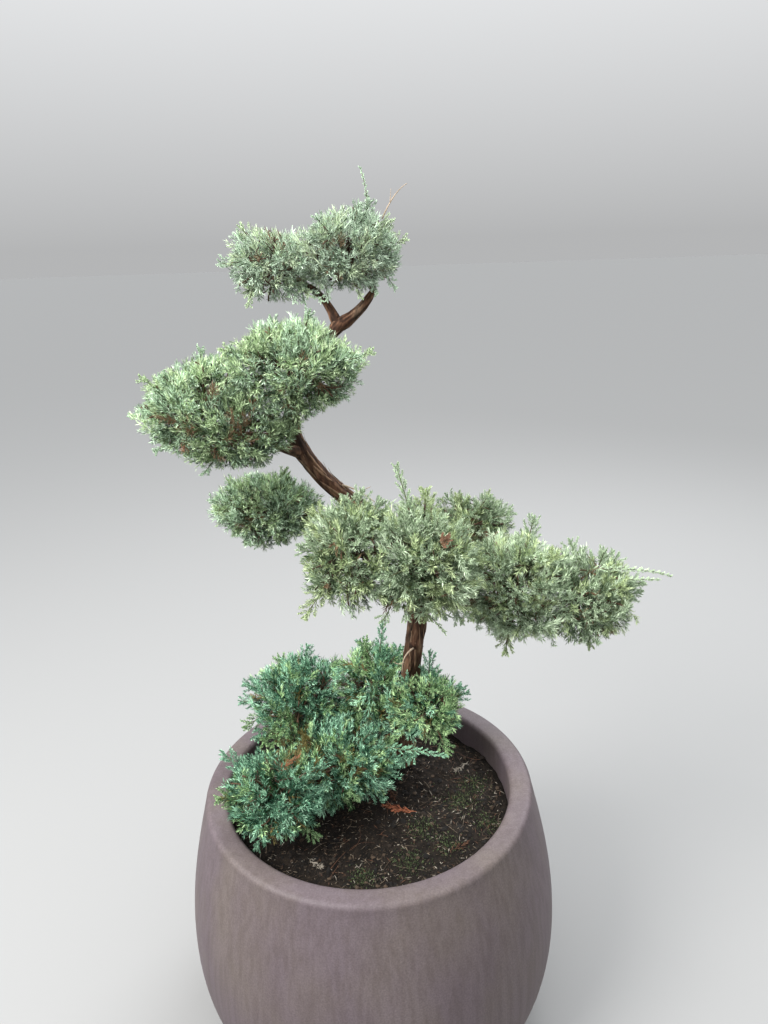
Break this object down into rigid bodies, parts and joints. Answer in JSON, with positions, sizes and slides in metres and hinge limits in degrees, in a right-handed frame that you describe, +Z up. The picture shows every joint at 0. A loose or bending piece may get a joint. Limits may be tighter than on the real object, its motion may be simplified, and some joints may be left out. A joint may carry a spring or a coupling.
{
  "type": "potted juniper bonsai",
  "caption": "Cloud-pruned juniper bonsai in a round planter: an S-curved trunk with boughs that carry clipped pads of scaly foliage over bushy low growth.",
  "frame": {"origin": "centre of the planter's flat underside", "axes": "+Z up the planter's axis to the top of the crown; the viewer of the picture stands at -Y; the longest pad reaches towards +X and the high left pad towards -X"},
  "size_m": [0.787, 0.614, 1.388],
  "materials": {
    "pot": "matt mauve-taupe, faintly streaked",
    "soil": "dark moist potting compost",
    "bark": "rough stringy reddish-brown bark",
    "low_foliage": "soft blue-green scale leaves",
    "high_foliage": "soft grey-green scale leaves"
  },
  "bodies": {
    "root": {"pot": "pot", "soil": "soil", "trunk": "bark", "bough_low_front": "bark", "bough_low_middle": "bark", "bough_low_back": "bark", "bough_right_outer": "bark", "bough_right_inner": "bark", "bough_middle_right": "bark", "bough_back_right": "bark", "bough_middle_left": "bark", "bough_lower_left": "bark", "bough_left_under": "bark", "bough_left_outer": "bark", "bough_apex_left": "bark", "bough_apex_right": "bark", "low_front": "low_foliage", "low_middle": "low_foliage", "low_back": "low_foliage", "low_top": "low_foliage", "low_right": "low_foliage", "middle_left": "high_foliage", "middle_right": "high_foliage", "back_right": "high_foliage", "right_inner": "high_foliage", "right_outer": "high_foliage", "lower_left": "high_foliage", "left_outer": "high_foliage", "left_inner": "high_foliage", "left_under": "high_foliage", "apex_left": "high_foliage", "apex_right": "high_foliage"}
  },
  "joints": []
}
